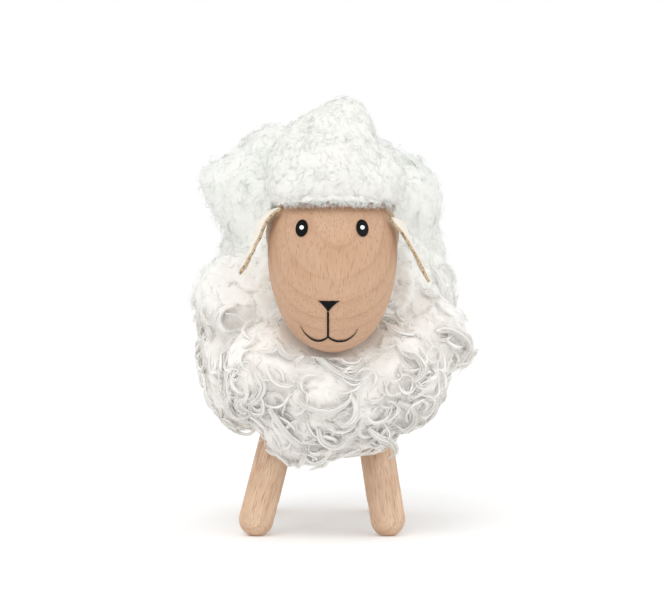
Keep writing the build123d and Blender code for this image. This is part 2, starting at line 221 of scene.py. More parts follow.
def join_forms(first, first_way, second, second_way, softness):
    """Distance to two forms together, which is the lesser of theirs, and the way out: their ways
    mixed by 1 / (1 + exp(difference of the distances / softness))."""
    share = 1 / (1 + np.exp(np.clip((second - first) / softness, -STEEPEST, STEEPEST)))
    way = first_way * (1 - share)[..., None] + second_way * share[..., None]
    return np.minimum(first, second), unit(way)


def coat_distance(points):
    """Distance to the coat's outer form and the way out: its lumps, joined with a long barrel."""
    shifted = points.copy()
    along = points[..., 1] - BARREL_MIDDLE[1]
    straight = np.clip(along, -BARREL_STRAIGHT, BARREL_STRAIGHT)
    shifted[..., 1] = along - straight
    shifted[..., 0] -= BARREL_MIDDLE[0]
    shifted[..., 2] -= BARREL_MIDDLE[2]
    barrel = np.linalg.norm(shifted, axis=-1) - BARREL_RADIUS
    centres = COAT_MIDDLE + COAT_LUMPS[:, :3] * COAT_HALF
    lumps, way = soft_union(points, centres, COAT_LUMPS[:, 3] * COAT_HALF[0], COAT_SOFTNESS)
    return join_forms(lumps, way, barrel, unit(shifted), COAT_SOFTNESS)


def cap_distance(points):
    """Distance to the cap's outer form and the way out: its lumps, joined with a thin shell of
    wool over the hide on the head's round crown."""
    edge = np.array([0.0, HEAD[1], CAP_EDGE])
    centres = edge + CAP_LUMPS[:, :3] * CAP_HALF
    lumps, way = soft_union(points, centres, CAP_LUMPS[:, 3] * CAP_HALF[0], CAP_SOFTNESS)
    away = points - HEAD
    shell = np.linalg.norm(away, axis=-1) - HEAD_RADIUS - HIDE - CAP_RIM
    return join_forms(lumps, way, shell, unit(away), RIM_SOFTNESS)


def head_parts(points):
    """Places in the head's own directions: across, up to the crown and ahead to the face."""
    away = points - HEAD
    return away[..., 0], away @ CROWN_WAY, away @ FACE_WAY


def egg_distance(across, up, ahead):
    """Distance to the head's egg, a ball above its middle and a fuller, longer oval below."""
    out = np.sqrt(across ** 2 + ahead ** 2)
    whole = np.sqrt(out ** 2 + up ** 2)
    share = ((out / HEAD_RADIUS) ** CHIN_FULLNESS
             + (np.maximum(-up, 0) / CHIN_LENGTH) ** CHIN_FULLNESS) ** (1 / CHIN_FULLNESS)
    below = whole * (1 - 1 / np.maximum(share, TINY))
    return np.where(up > 0, whole - HEAD_RADIUS, below)


def room_distance(points):
    """Distance to the room that the turning head, cap and ears need: the egg at each angle of its
    turn, and a slice of a disc round the neck's axis for the cap and the ears."""
    across, up, ahead = head_parts(points)
    egg = np.full(across.shape, FAR)
    for angle in np.linspace(-TURN_RANGE, TURN_RANGE, TURN_STEPS):
        turned = across * np.cos(angle) + up * np.sin(angle)
        raised = up * np.cos(angle) - across * np.sin(angle)
        egg = np.minimum(egg, egg_distance(turned, raised, ahead))
    reach = np.sqrt(across ** 2 + up ** 2)
    angle = np.arctan2(np.abs(across), up)
    past = reach * np.sin(np.clip(angle - EAR_REACH, -pi / 2, pi / 2))
    swing = np.maximum(np.maximum(-(ahead + CAP_REAR), reach - CAP_SWING), past)
    return np.minimum(egg, swing)


def clear_room(points, margin, rounds=3, step=0.25):
    """Points moved out of the head's room, up its distance's slope, until a margin clear of it."""
    flat = points.reshape(-1, 3).copy()
    for _ in range(rounds):
        distance = room_distance(flat)
        near = np.nonzero(distance < margin)[0]
        if not len(near):
            break
        close = flat[near]
        slope = np.stack([
            room_distance(close + step * axis) - room_distance(close - step * axis)
            for axis in np.eye(3)
        ], axis=-1)
        flat[near] = close + unit(slope) * (margin - distance[near])[:, None]
    return flat.reshape(points.shape)


def polar(angle, out, up):
    """Points at angles round the upright axis from +X, so far out from it and so high up."""
    return np.stack(np.broadcast_arrays(out * np.cos(angle), out * np.sin(angle), up), -1)


def sphere_ways(count):
    """Directions spread evenly over a sphere, along a golden-angle spiral."""
    index = np.arange(count) + 0.5
    height = 1 - 2 * index / count
    return polar(index * pi * (3 - 5 ** 0.5), np.sqrt(1 - height ** 2), height)


def radial_reach(ways, form, step=1.5, halvings=7):
    """How far each direction runs from a form's centre inside it, by steps and halvings."""
    reach = np.full(len(ways), step)
    going = np.arange(len(ways))
    for distance in np.arange(step, form.furthest, step):
        going = going[form.inside(form.centre + ways[going] * distance)]
        reach[going] = distance
    low, high = reach, reach + step
    for _ in range(halvings):
        middle = (low + high) / 2
        within = form.inside(form.centre + ways * middle[:, None])
        low, high = np.where(within, middle, low), np.where(within, high, middle)
    return low


def ripple(points, length, seed, waves=7):
    """Smooth uneven waves between about -1 and 1: twice the mean of sines along seeded
    directions, whose wavelengths are 0.7 to 1.5 times the length."""
    rng = np.random.default_rng(seed)
    total = np.zeros(points.shape[:-1])
    for way, phase in zip(unit(rng.normal(size=(waves, 3))), rng.uniform(0, 2 * pi, waves)):
        total += np.sin(points @ way * 2 * pi / (length * rng.uniform(0.7, 1.5)) + phase)
    return total / (waves / 2)


def put_object(name, data):
    """A new object in the scene."""
    made = bpy.data.objects.new(name, data)
    bpy.context.scene.collection.objects.link(made)
    return made


def put_mesh(name, points, quads, triangles, marks=None, normals=None):
    """A mesh object from whole arrays: points in millimetres, faces, what each point is marked
    with, and the way that it is shaded as facing."""
    mesh = bpy.data.meshes.new(name)
    mesh.vertices.add(len(points))
    mesh.vertices.foreach_set("co", (points * MM).astype(np.float32).ravel())
    corners = np.concatenate([quads.ravel(), triangles.ravel()]).astype(np.int32)
    mesh.loops.add(len(corners))
    mesh.loops.foreach_set("vertex_index", corners)
    mesh.polygons.add(len(quads) + len(triangles))
    starts = np.concatenate([
        np.arange(len(quads)) * 4, len(quads) * 4 + np.arange(len(triangles)) * 3])
    mesh.polygons.foreach_set("loop_start", starts.astype(np.int32))
    mesh.polygons.foreach_set("use_smooth", np.ones(len(quads) + len(triangles), bool))
    for mark, values in (marks or {}).items():
        number = values.size == len(points)
        layer = mesh.attributes.new(mark, "FLOAT" if number else "FLOAT_VECTOR", "POINT")
        layer.data.foreach_set("value" if number else "vector", values.astype(np.float32).ravel())
    mesh.update(calc_edges=True)
    mesh.validate()
    if normals is not None:
        mesh.normals_split_custom_set_from_vertices(unit(normals))
    return put_object(name, mesh)


def globe_faces(rings, around):
    """Faces of a closed globe of point rings between a top point and a bottom point."""
    first = np.arange(around)
    second = (first + 1) % around
    low = np.arange(rings - 1)[:, None] * around
    high = low + around
    quads = np.stack([low + first, high + first, high + second, low + second], -1)
    last, top = (rings - 1) * around, rings * around
    triangles = np.concatenate([
        np.stack([np.full(around, top), first, second], -1),
        np.stack([np.full(around, top + 1), last + second, last + first], -1),
    ])
    return quads.reshape(-1, 4), triangles


def round_angles(around):
    """Angles evenly round a circle."""
    return np.linspace(0, 2 * pi, around, endpoint=False)


def ring_ways(down, around):
    """Directions on rings evenly round: the angle down from the top, for each ring and place."""
    return polar(round_angles(around), np.sin(down), np.cos(down)).reshape(-1, 3)


def fleece(points, relief, ridge=4.2, bend=1.7, coarse=7.0, fine=2.8):
    """Uneven height of close wool: waves of two lengths, and winding ridges like locks, which are
    a sine across the form whose phase is itself bent by waves."""
    rng = np.random.default_rng(SEED)
    across = points @ unit(rng.normal(size=3)) / ridge
    ridges = np.sin(2 * pi * (across + bend * ripple(points, 9.0, 3)))
    return relief * (0.8 * ripple(points, coarse, SEED) + 0.5 * ripple(points, fine, SEED + 1)
                     + 0.45 * ridges)


def wool_globe(name, form, relief, tip=0.4, rings=200, around=400):
    """A closed wool body: the reach of a form in every direction from its centre, on a grid of
    angle and height, plus the height of close wool."""
    ways = np.concatenate([
        ring_ways(np.linspace(0, pi, rings + 2)[1:-1, None], around), [[0, 0, 1], [0, 0, -1]]])
    points = form.centre + ways * radial_reach(ways, form)[:, None]
    points += ways * fleece(points, relief)[:, None]
    # The under wool is marked part way to the tip, so it takes some of the beige root colour:
    # painted shade for its depth under the locks, as well as the wool's own tone
    marks = {"tip": np.full(len(points), tip)}
    return put_mesh(name, points, *globe_faces(rings, around), marks)


def wool_dome(name, form, ball, limit, relief, tip=0.25, rings=130, inner_step=8, least=0.5):
    """A closed wool body over the head's crown: rings from the top down to the limit at the reach
    of a form plus the height of close wool, and fewer rings back up to the top at the ball's own
    radius. The limit is an angle down from the top for each place round."""
    around = len(limit)
    outer = np.linspace(0, 1, rings + 1)[1:, None] * limit[None]
    inner = outer[::-inner_step]
    ways = np.concatenate([
        ring_ways(outer, around), ring_ways(inner, around), [[0, 0, 1], [0, 0, 1]]])
    reach = radial_reach(ways, form)
    points = form.centre + ways * reach[:, None]
    reach = np.maximum(reach + fleece(points, relief), ball + least)
    covered = np.ones(len(ways), bool)
    covered[rings * around:-2] = False
    covered[-1] = False
    points = form.centre + ways * np.where(covered, reach, ball)[:, None]
    # The cap's under wool is marked part way to the tip, so it takes some of the beige root colour:
    # painted shade for its depth under the fibres, as well as the wool's own tone
    marks = {"tip": np.full(len(points), tip)}
    return put_mesh(name, points, *globe_faces(rings + len(inner), around), marks)


def wool_roots(rng, form, count):
    """Root points spread evenly over a form: directions thinned by how much surface each covers,
    and the way out of the form at each."""
    ways = sphere_ways(count * 4)
    reach = radial_reach(ways, form)
    points = form.centre + ways * reach[:, None]
    _, out = form.distance(points)
    facing = np.clip(np.sum(out * ways, axis=1), 0.25, 1)
    cover = reach ** 2 / facing
    kept = rng.random(len(ways)) < cover * count / cover.sum()
    return points[kept], out[kept]


def curl_guides(rng, form, roots, out, length, turns, steps, rise, stray, lean, swaying=0.45):
    """Middle lines of curls: a direction that turns as share ^ 1.25 in a plane leaning out of the
    surface, or for a part of them sways to and fro in it by 1.15 sin, and that at the root stands
    out by 0.9 exp(-share / 0.1). It is summed up along the length and kept in a shell round the
    form. The plane runs down the form, by 0.8, and astray."""
    count = len(roots)
    down = out * out[:, 2:3] - [0.0, 0.0, 1.0]
    aside = unit(np.cross(out, rng.normal(size=(count, 3))))
    along = unit(down * 0.8 + aside * stray)
    across = np.cross(out, along)
    lean = rng.uniform(0.0, 1.0, (count, 1)) * lean
    raised = np.cos(lean) * across + np.sin(lean) * out
    share = np.linspace(0, 1, steps)[None, :, None]
    hand = rng.choice([-1.0, 1.0], (count, 1, 1))
    begin = rng.uniform(-0.7, 0.7, (count, 1, 1))
    full = 2 * pi * turns[:, None, None]
    curled = begin + full * share ** 1.25
    swayed = 1.15 * np.sin(full * 1.5 * share + begin * 3)
    angle = hand * np.where(rng.random((count, 1, 1)) < swaying, swayed, curled)
    way = np.cos(angle) * along[:, None] + np.sin(angle) * raised[:, None]
    way = unit(way + out[:, None] * 0.9 * np.exp(-share / 0.1))
    stride = length[:, None, None] / (steps - 1)
    lines = roots[:, None] + np.cumsum(way, axis=1) * stride - way[:, :1] * stride
    return keep_shell(lines, form, rise), unit(np.cross(along, raised))


def keep_shell(lines, form, rise, depth=1.6):
    """Lines drawn into a shell round a form: outside it by rise * tanh(distance / rise), which is
    less than the rise, and no deeper inside than a depth."""
    distance, way = form.distance(lines)
    rise = np.broadcast_to(rise, len(lines))[:, None]
    outside = rise * np.tanh(distance / rise)
    wanted = np.where(distance > 0, outside, np.maximum(distance, -depth))
    return lines + way * (wanted - distance)[..., None]


def locks(rng, guides, planes, width, strands, frizz):
    """Strands of curls: each follows its guide at its own place across the lock, which opens from
    the root as 0.4 + 0.6 sin and draws in to the tip by 0.6 of the length squared, with a slow
    twist, waves of its own and its own length."""
    count, steps, _ = guides.shape
    total = count * strands
    reach = rng.uniform(0.72, 1.0, (total, 1)) * np.linspace(0, 1, steps)[None]
    place = reach * (steps - 1)
    low = np.minimum(place.astype(int), steps - 2)
    part = (place - low)[..., None]
    owner = np.repeat(np.arange(count), strands)[:, None]
    lines = guides[owner, low] * (1 - part) + guides[owner, low + 1] * part
    planes = np.repeat(planes, strands, axis=0)
    first = planes[:, None]
    second = unit(np.cross(unit(np.gradient(lines, axis=1)), first))
    spread = np.sqrt(rng.random((total, 1))) * np.repeat(width, strands)[:, None]
    opening = (0.4 + 0.6 * np.sin(np.minimum(reach / 0.7, 1) * pi / 2)) * (1 - 0.6 * reach ** 2)
    angle = rng.uniform(0, 2 * pi, (total, 1)) + reach * rng.uniform(0.3, 1.6)
    phase = rng.uniform(0, 2 * pi, (total, 2))
    rate = rng.uniform(1.2, 3.2, (total, 2))
    turned = 2 * pi * rate[:, None] * reach[..., None] + phase[:, None]
    wave = frizz * reach[..., None] * np.sin(turned)
    lines += first * (spread * opening * np.cos(angle) + wave[..., 0])[..., None]
    lines += second * (spread * opening * np.sin(angle) + wave[..., 1])[..., None]
    return lines, planes


def fibres(rng, form, roots, out, length, turns, steps, rise, stray, lean, width, frizz):
    """Lines of single strands, each on a curl of its own, and their planes."""
    guides, planes = curl_guides(rng, form, roots, out, length, turns, steps, rise, stray, lean)
    return locks(rng, guides, planes, np.full(len(roots), width), 1, frizz)


def grow(name, rng, form, finish, lines, planes, thickness, sides, root, outward=0.2):
    """A piece of strands, which are closed tubes of a few sides along lines. Their radius opens
    from half at the root as 0.5 + 2 share, and draws in to the tip as 1 - 0.86 share ^ 2.6. Each
    point keeps its share of the length, counted from a root, and its place round and along the
    tube. It is shaded as facing a little further out of the form than it does, as light goes
    through a lock of wool."""
    count, steps, _ = lines.shape
    share = np.linspace(0, 1, steps)
    taper = np.minimum(0.5 + share * 2.0, 1) * (1 - 0.86 * share ** 2.6)
    radius = thickness[:, None] / 2 * taper
    tangent = unit(np.gradient(lines, axis=1))
    side = unit(np.cross(tangent, planes[:, None]))
    other = np.cross(tangent, side)
    turns = round_angles(sides)
    ring = (np.cos(turns)[:, None] * side[:, :, None]
            + np.sin(turns)[:, None] * other[:, :, None])
    points = lines[:, :, None] + radius[:, :, None, None] * ring
    first = np.arange(sides)
    second = (first + 1) % sides
    foot = (np.arange(count) * steps * sides)[:, None, None]
    low = foot + np.arange(steps - 1)[:, None] * sides
    high = low + sides
    quads = np.stack([low + first, low + second, high + second, high + first], -1)
    fan = np.stack([np.zeros(sides - 2, int), first[1:-1], first[2:]], -1)
    triangles = np.concatenate([foot + fan[:, ::-1], foot + (steps - 1) * sides + fan])
    # The share from the root draws the beige root colour along each strand: partly the wool's own
    # tone, partly painted shade deep in the lock
    grown = root + (1 - root) * np.broadcast_to(share[:, None], (count, steps, sides))
    stride = np.linalg.norm(lines[:, -1] - lines[:, 0], axis=1)[:, None] + 4
    along = rng.uniform(0, 90, (count, 1)) + share * stride
    girth = thickness[:, None, None] * 1.6
    fibre = np.stack(np.broadcast_arrays(
        np.cos(turns) * girth, np.sin(turns) * girth, along[:, :, None] * 0.25), -1)
    _, out = form.distance(lines)
    facing = ring + outward * out[:, :, None]
    piece = put_mesh(
        name, points.reshape(-1, 3), quads.reshape(-1, 4), triangles.reshape(-1, 3),
        {"tip": grown, "fibre": fibre}, facing.reshape(-1, 3))
    finish_piece(piece, *finish)


def smooth_path(points, steps):
    """A smooth line through points, each span blended from its four nearest points."""
    points = np.asarray(points, float)
    padded = np.concatenate([2 * points[:1] - points[1:2], points, 2 * points[-1:] - points[-2:-1]])
    place = np.linspace(0, len(points) - 1 - 1e-6, steps)
    span = place.astype(int)
    part = (place - span)[:, None]
    before, start, end, after = (padded[span + offset] for offset in range(4))
    return 0.5 * (2 * start + (end - before) * part
                  + (2 * before - 5 * start + 4 * end - after) * part ** 2
                  + (3 * start - before - 3 * end + after) * part ** 3)


def seen_at(pixels, depth):
    """Places that the photograph's camera sees at pixels, each at a depth behind the middle."""
    scale = (VIEW_DISTANCE + depth) / FOCAL_PIXELS
    across = (pixels[..., 0] - FRAME_WIDTH / 2) * scale
    down = (pixels[..., 1] - FRAME_HEIGHT / 2) * scale
    return np.stack([across, np.broadcast_to(depth, across.shape), VIEW_HEIGHT - down], -1)


def leading_guides(steps, lift):
    """Middle lines of the curls that stand out: each point is sent from the camera to where its
    ray first meets the coat, or passes nearest to it, and the depths are evened out along the line
    by a mean of nine."""
    depth = np.arange(-75.0, 30.0, 0.5)
    guides = []
    for _, pixels in LEADING_CURLS:
        path = smooth_path(pixels, steps)
        distance, _ = coat_distance(seen_at(path[:, None], depth[None]))
        met = distance < lift
        first = np.where(met.any(axis=1), met.argmax(axis=1), distance.argmin(axis=1))
        even = np.convolve(np.pad(depth[first], 4, mode="edge"), np.ones(9) / 9, mode="valid")
        guides.append(seen_at(path, even))
    return np.array(guides)


class Shader:
    """A fresh material, or a given node tree, and short calls that add nodes to it."""

    def __init__(self, name=None, tree=None):
        if tree is None:
            self.material = bpy.data.materials.new(name)
            self.material.use_nodes = True
            tree = self.material.node_tree
            self.surface = tree.nodes["Principled BSDF"]
        self.tree = tree

    def put(self, socket, value):
        """Join a socket to another node's, or set it to a number, a place or a colour."""
        if isinstance(value, bpy.types.NodeSocket):
            self.tree.links.new(value, socket)
        else:
            socket.default_value = (*value, 1) if socket.type == "RGBA" else value

    def node(self, kind, inputs=(), **settings):
        """A new node of a kind, with its settings and what its inputs take."""
        made = self.tree.nodes.new(kind)
        for key, value in settings.items():
            setattr(made, key, value)
        for key, value in dict(inputs).items():
            self.put(made.inputs[key], value)
        return made

    def set(self, **values):
        """What the surface's own inputs take."""
        for key, value in values.items():
            self.put(self.surface.inputs[key.replace("_", " ")], value)

    def object_places(self):
        return self.node("ShaderNodeTexCoord").outputs["Object"]

    def mark(self, name, output="Fac"):
        return self.node("ShaderNodeAttribute", attribute_name=name).outputs[output]

    def mapped(self, places, location=(0, 0, 0), rotation=(0, 0, 0), scale=(1, 1, 1)):
        inputs = {"Vector": places, "Location": location, "Rotation": rotation, "Scale": scale}
        return self.node("ShaderNodeMapping", inputs, vector_type="TEXTURE").outputs["Vector"]

    def noise(self, places, scale, detail=2.0, roughness=0.5):
        inputs = {"Vector": places, "Scale": scale, "Detail": detail, "Roughness": roughness}
        return self.node("ShaderNodeTexNoise", inputs).outputs["Fac"]

    def length(self, vector):
        return self.node("ShaderNodeVectorMath", {0: vector}, operation="LENGTH").outputs["Value"]

    def sum(self, operation, *values, clamp=False):
        made = self.node("ShaderNodeMath", enumerate(values), operation=operation, use_clamp=clamp)
        return made.outputs["Value"]

    def ramp(self, factor, stops):
        made = self.node("ShaderNodeValToRGB", {"Fac": factor})
        band = made.color_ramp
        while len(band.elements) < len(stops):
            band.elements.new(0.5)
        for element, (place, value) in zip(band.elements, stops):
            element.position = place
            element.color = (*value, 1) if isinstance(value, tuple) else (value, value, value, 1)
        return made.outputs["Color"]

    def mix(self, factor, first, second, blend="MIX"):
        made = self.node("ShaderNodeMix", {0: factor, 6: first, 7: second}, data_type="RGBA",
                         blend_type=blend)
        return made.outputs[2]

    def bump(self, height, strength, distance):
        inputs = {"Height": height, "Strength": strength, "Distance": distance}
        self.set(Normal=self.node("ShaderNodeBump", inputs).outputs["Normal"])

    def seen(self, amount):
        """An amount for rays from the camera, off gloss and through glass, and none for others."""
        path = self.node("ShaderNodeLightPath").outputs
        first = self.sum("MAXIMUM", path["Is Camera Ray"], path["Is Glossy Ray"])
        any_ray = self.sum("MAXIMUM", first, path["Is Transmission Ray"])
        return self.sum("MULTIPLY", any_ray, amount)


def colour_prop(name, about, *display):
    """A colour property whose default is a display colour."""
    return bpy.props.FloatVectorProperty(
        name=name, description=about, subtype="COLOR", size=3, min=0, max=1,
        default=tone(*display))


def length_prop(name, about, millimetres):
    """A length property whose default is given in millimetres."""
    return bpy.props.FloatProperty(
        name=name, description=about, unit="LENGTH", min=0, precision=5,
        default=millimetres * MM)


def share_prop(name, about, value):
    """A share property, from 0 to 1."""
    return bpy.props.FloatProperty(
        name=name, description=about, subtype="FACTOR", min=0, max=1, default=value)


def count_prop(name, about, count):
    """A whole number property."""
    return bpy.props.IntProperty(name=name, description=about, min=1, default=count)


def strength_prop(name, about, value, unit="NONE"):
    """A property of how strong a light is."""
    return bpy.props.FloatProperty(name=name, description=about, unit=unit, min=0, default=value)


class BeechSettings(bpy.types.PropertyGroup):
    """Colours and figure of the turned beech."""

    pale: colour_prop("Pale Wood", "Early wood between the rings of the head", 208, 172, 142)
    leg_pale: colour_prop("Leg Wood", "Early wood between the rings of the legs", 238, 208, 179)
    warm: colour_prop("Ring Wood", "Late wood along each ring", 178, 135, 104)
    flush: colour_prop("Flush", "Warm patches in the wood", 203, 163, 134)
    fleck: colour_prop("Fleck", "Short dark flecks along the grain", 140, 98, 72)
    ring_spacing: length_prop("Ring Spacing", "Distance from ring to ring", 3.3)
    pith_depth: length_prop("Pith Depth", "How far behind the head's middle the pith runs", 30.0)
    ring_depth: share_prop("Ring Depth", "How strongly the rings show", 0.6)


class WoolSettings(bpy.types.PropertyGroup):
    """Colours and sizes of the sheepskin's wool."""

    tip: colour_prop("Wool Tips", "Clean outer wool", 253, 253, 251)
    # Root colour: partly the wool's own warmer tone near the skin, partly painted shade for the
    # deep wool between the curls
    root: colour_prop("Wool Roots", "Wool near the skin", 251, 245, 238)
    low: colour_prop("Low Wool", "Warm tinge of the coat's lower wool", 255, 253, 250)
    high: colour_prop("High Wool", "Cool tinge of the cap and the back", 243, 245, 243)
    fleck: colour_prop("Wool Flecks", "Brown flecks along the cap's cut edge", 150, 112, 80)
    coat_relief: length_prop("Coat Relief", "Height of the coat's uneven under wool", 0.5)
    cap_relief: length_prop("Cap Relief", "Height of the cap's uneven under wool", 0.25)
    lock_count: count_prop("Locks", "Curled locks over the coat", 2000)
    lock_wisps: count_prop("Wisps", "Twisted wisps in each lock", 2)
    lock_strands: count_prop("Strands", "Loose strands round each lock", 6)
    lock_width: length_prop("Lock Width", "Half the width of a lock at its widest", 1.2)
    lock_length: length_prop("Lock Length", "Middle length of a lock along its curl", 18.0)
    coat_fibres: count_prop("Coat Fibres", "Fine fibres all over the coat", 9000)
    edge_fibres: count_prop("Edge Fibres", "Fibres over the cap's edge", 2200)
    cap_fibres: count_prop("Cap Fibres", "Brushed fibres on the cap", 4000)


class LeatherSettings(bpy.types.PropertyGroup):
    """Colours of the ears and of the hide's cut edge."""

    face: colour_prop("Leather Face", "Cream split face", 240, 234, 222)
    cut: colour_prop("Cut Edge", "Tan cut edge", 206, 184, 152)
    speck: colour_prop("Specks", "Dark specks in the cut edge", 96, 66, 42)
    ear_width: length_prop("Ear Width", "Width of an ear at its root", 12.6)
    ear_thickness: length_prop("Ear Thickness", "Thickness of an ear's leather", 1.15)


class PaintSettings(bpy.types.PropertyGroup):
    """Paint of the face."""

    black: colour_prop("Black Paint", "Eyes, nose and mouth", 5, 6, 8)
    white: colour_prop("White Paint", "Glints of the eyes", 250, 250, 248)
    roughness: share_prop("Roughness", "Roughness of the paint", 0.16)


class StageSettings(bpy.types.PropertyGroup):
    """Floor, light and camera."""

    floor: colour_prop("Floor", "Pale floor", 250, 250, 250)
    sky: strength_prop("Sky", "Strength of the light from all round", 0.86)
    key: strength_prop("Key Lamp", "Power of the lamp above the front", 3.6, "POWER")
    fill: strength_prop("Fill Lamp", "Power of the lamp at the side", 0.9, "POWER")
    floor_glow: strength_prop("Floor Glow", "What the floor adds for the camera alone", 0.12)


def beech_material(name, settings, pale, middle, grain_way, pith, scale=1.0, tilt=0.0):
    """Beech whose rings are cylinders about a pith line along the grain: they cut a round form in
    nested arcs. Fine streaks and short dark flecks run along the grain too, or at a tilt to it."""
    shader = Shader(name)
    facing = Vector((0, 0, 1)).rotation_difference(Vector(grain_way)).to_euler()
    local = shader.mapped(shader.object_places(), tuple(Vector(middle) * MM), facing, (MM,) * 3)
    centred = shader.mapped(local, (*pith, 0))
    flat = shader.node("ShaderNodeVectorMath", {0: centred, 1: (1, 1, 0)}, operation="MULTIPLY")
    rings = shader.sum(
        "DIVIDE", shader.length(flat.outputs["Vector"]), settings.ring_spacing / MM * scale)
    uneven = shader.sum("MULTIPLY_ADD", shader.noise(local, 0.035, 1.0), 1.1, rings)
    ring = shader.ramp(shader.sum("FRACT", uneven), [
        (0.0, 0.25), (0.12, 0.0), (0.5, 0.05), (0.88, 0.45), (0.94, 1.0), (0.98, 0.9)])
    strength = shader.ramp(shader.noise(local, 0.09, 1.0), [(0.3, 0.35), (0.7, 1.0)])
    strands = shader.mapped(local, rotation=(tilt, 0, 0), scale=(0.45, 0.45, 6.0))
    streak = shader.ramp(shader.noise(strands, 1.0, 3.0, 0.6), [(0.3, 0.0), (0.75, 1.0)])
    spots = shader.node("ShaderNodeTexVoronoi", {"Vector": strands, "Scale": 1.0}, feature="F1")
    fleck = shader.ramp(spots.outputs["Distance"], [(0.14, 1.0), (0.3, 0.0)])
    patch = shader.ramp(shader.noise(local, 0.11, 2.0), [(0.35, 0.0), (0.68, 1.0)])
    base = shader.mix(patch, pale, shader.mix(0.5, pale, settings.flush))
    shown = shader.sum("MULTIPLY", shader.sum("MULTIPLY", ring, strength), settings.ring_depth)
    ringed = shader.mix(shown, base, settings.warm)
    streaked = shader.mix(shader.sum("MULTIPLY", streak, 0.5), ringed, settings.warm)
    flecked = shader.mix(shader.sum("MULTIPLY", fleck, 0.6), streaked, settings.fleck)
    shader.set(Base_Color=flecked, Roughness=shader.sum("MULTIPLY_ADD", streak, 0.1, 0.5),
               Specular_IOR_Level=0.35)
    height = shader.sum("MULTIPLY_ADD", fleck, -0.8, shader.sum("MULTIPLY", streak, 0.5))
    shader.bump(height, 0.25, 0.12 * MM)
    return shader.material


def wool_material(name, settings, strands=True, rim=False):
    """Wool: beige at the root and clean at the tip, in soft clouds, with fine streaks along the
    strands or a nap all over, and a sheen. The beige root colour is partly the wool's own tone near
    the skin and partly painted shade for the depth between the locks. A rim has brown flecks just
    above the cap's edge."""
    shader = Shader(name)
    places = shader.object_places()
    cloud = shader.noise(places, 90.0)
    # Beige towards the root: partly the wool's own tone, partly painted shade in the depth of the
    # wool
    grown = shader.ramp(shader.sum("MULTIPLY_ADD", cloud, 0.25, shader.mark("tip")), [
        (0.05, 0.0), (0.6, 1.0)])
    base = shader.mix(grown, settings.root, settings.tip)
    if strands:
        streak = shader.noise(shader.mark("fibre", "Vector"), 1.6)
    else:
        streak = shader.noise(places, 2200.0, 3.0)
    tint = shader.ramp(streak, [(0.3, 0.965), (0.6, 1.0)])
    # Tinted by height: a little cooler and darker above, warmer below
    up = shader.node("ShaderNodeSeparateXYZ", {0: places}).outputs["Z"]
    height = shader.ramp(shader.sum("MULTIPLY", up, 6.0), [(0.4, 1.0), (0.72, 0.0)])
    height_tinted = shader.mix(1.0, base, shader.mix(height, settings.high, settings.low), "MULTIPLY")
    wool = shader.mix(1.0, height_tinted, tint, "MULTIPLY")
    if rim:
        close = shader.sum("MULTIPLY_ADD", up, -1 / (RIM_BAND * MM), CAP_EDGE / RIM_BAND + 1)
        spread = shader.noise(places, 140.0, 1.0)
        dots = shader.noise(places, 1000.0, 1.0)
        amount = shader.sum("MULTIPLY_ADD", spread, 0.95, shader.sum("MULTIPLY", close, 0.36))
        level = shader.sum("MULTIPLY_ADD", dots, 0.8, shader.sum("SUBTRACT", amount, 0.5))
        flecks = shader.ramp(level, [(0.74, 0.0), (0.84, 0.85)])
        beyond = shader.sum("ABSOLUTE", shader.sum("SUBTRACT", close, 0.65))
        near = shader.sum("MULTIPLY_ADD", beyond, -1.1, 1.0, clamp=True)
        wool = shader.mix(shader.sum("MULTIPLY", flecks, near), wool, settings.fleck)
    shader.bump(streak, 0.35, 0.15 * MM)
    shader.set(Base_Color=wool, Roughness=0.95, Specular_IOR_Level=0.1, Sheen_Weight=0.3,
               Sheen_Roughness=0.7)
    return shader.material


def hide_material(name, settings, edge=True):
    """Hide and leather: a cream napped face, and along a cut edge tan with dark specks."""
    shader = Shader(name)
    places = shader.object_places()
    cloud = shader.noise(places, 160.0)
    face = shader.mix(shader.ramp(cloud, [(0.35, 0.0), (0.75, 0.16)]), settings.face, settings.cut)
    grain = shader.ramp(shader.noise(places, 1500.0), [(0.48, 0.0), (0.72, 0.85)])
    speckled = shader.mix(grain, settings.cut, settings.speck)
    worn = shader.mix(shader.mark("edge") if edge else 0.55, face, speckled)
    shader.bump(shader.noise(places, 1500.0, 3.0, 0.6), 0.35, 0.15 * MM)
    shader.set(Base_Color=worn, Roughness=0.82, Specular_IOR_Level=0.2, Sheen_Weight=0.2)
    return shader.material


def paint_material(name, base, roughness):
    """Smooth paint with a faint orange peel."""
    shader = Shader(name)
    peel = shader.noise(shader.object_places(), 700.0, 1.0)
    tint = shader.ramp(peel, [(0.3, tuple(base)), (0.8, tuple(value * 1.25 for value in base))])
    shader.bump(peel, 0.04, 0.1 * MM)
    shader.set(Base_Color=tint, Roughness=roughness, Specular_IOR_Level=0.12)
    return shader.material


def dress(material, *nodes):
    """Give CAD nodes their material through their material slots."""
    for node in nodes:
        slots = frame["nodes"][node].data.materials
        slots.clear()
        slots.append(material)


def finish_piece(piece, material, body, slot):
    """Give a new piece its material and the body it rides on. The slot is not used."""
    piece.data.materials.append(material)
    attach(piece, body)


